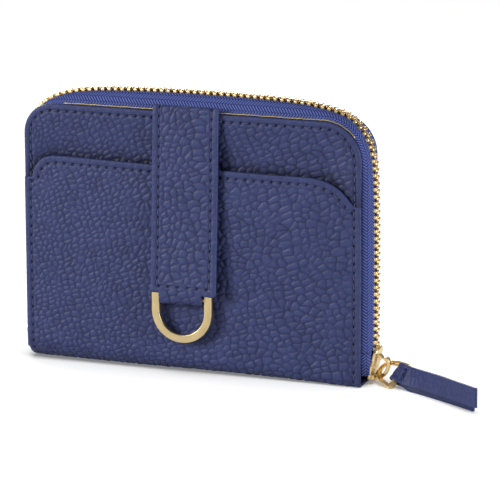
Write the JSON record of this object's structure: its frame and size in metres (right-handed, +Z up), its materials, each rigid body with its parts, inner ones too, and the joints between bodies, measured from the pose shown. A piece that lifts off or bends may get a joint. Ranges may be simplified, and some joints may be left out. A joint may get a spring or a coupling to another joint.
{
  "type": "zip-around wallet",
  "caption": "Small leather zip-around wallet: two hinged covers on a spine, a metal zip with pull, a front slip pocket, and a strap tab that carries a half ring.",
  "frame": {"origin": "on the standing surface, under the middle of the spine", "axes": "+X to the wallet's right seen from the front, towards the zip slider when closed; +Y to the back; +Z up"},
  "size_m": [0.1628, 0.0348, 0.0923],
  "materials": {
    "leather": "pebbled, satin, blue-violet navy",
    "lining": "fine twill lining, matt",
    "zip_tape": "woven herringbone tape, matt",
    "board": "pressed fibre stiffening board, matt",
    "pale_gold": "pale gold plate, brushed satin",
    "brass": "light gold plated brass, polished"
  },
  "bodies": {
    "spine": {"spine_leather": "leather", "spine_board": "board", "spine_lining": "lining", "right_front_tape_end": "zip_tape", "right_back_tape_end": "zip_tape", "left_front_tape_end": "zip_tape", "left_back_tape_end": "zip_tape", "right_front_stop": "brass", "right_back_stop": "brass", "left_front_stop": "brass", "left_back_stop": "brass"},
    "front_cover": {"front_pocket": "leather", "front_panel": "leather", "front_board": "board", "front_lining": "lining", "front_card_pocket_1": "leather", "front_card_pocket_2": "leather", "front_card_pocket_3": "leather", "front_piping": "pale_gold", "front_strap": "leather", "strap_tongue": "leather", "front_zip_tape": "zip_tape", "front_zip_teeth": "brass"},
    "back_cover": {"back_panel": "leather", "back_board": "board", "back_lining": "lining", "note_pocket": "leather", "coin_pocket_gusset": "lining", "coin_pocket_wall": "leather", "back_zip_tape": "zip_tape", "back_zip_teeth": "brass"},
    "ring": {"half_ring": "pale_gold"},
    "slider": {"slider_body": "brass"},
    "link": {"pull_link": "brass"},
    "tab": {"pull_tab": "leather"}
  },
  "joints": [
    {"name": "front_cover_hinge", "type": "hinge", "parent": "spine", "child": "front_cover", "pos_m": [0, -0.009, 0.007], "axis": [1, 0, 0], "range_deg": [0, 90]},
    {"name": "back_cover_hinge", "type": "hinge", "parent": "spine", "child": "back_cover", "pos_m": [0, 0.009, 0.007], "axis": [-1, 0, 0], "range_deg": [0, 90]},
    {"name": "ring_hinge", "type": "hinge", "parent": "front_cover", "child": "ring", "pos_m": [-0.00195, -0.0115, 0.0257], "axis": [1, 0, 0], "range_deg": [-100, 0]},
    {"name": "slider_travel", "type": "slide", "parent": "spine", "child": "slider", "axis": [0, 0, -1], "range_m": [-0.06, 0], "deforming": ["front_zip_teeth", "back_zip_teeth", "front_zip_tape", "back_zip_tape"]},
    {"name": "link_hinge", "type": "hinge", "parent": "slider", "child": "link", "pos_m": [0.0635, 0.0008, 0.005], "axis": [0, -1, 0], "range_deg": [0, 45]},
    {"name": "tab_hinge", "type": "hinge", "parent": "link", "child": "tab", "pos_m": [0.06961, -0.00253, 0.00424], "axis": [-0.4085, -0.5921, -0.6946], "range_deg": [0, 60]}
  ]
}
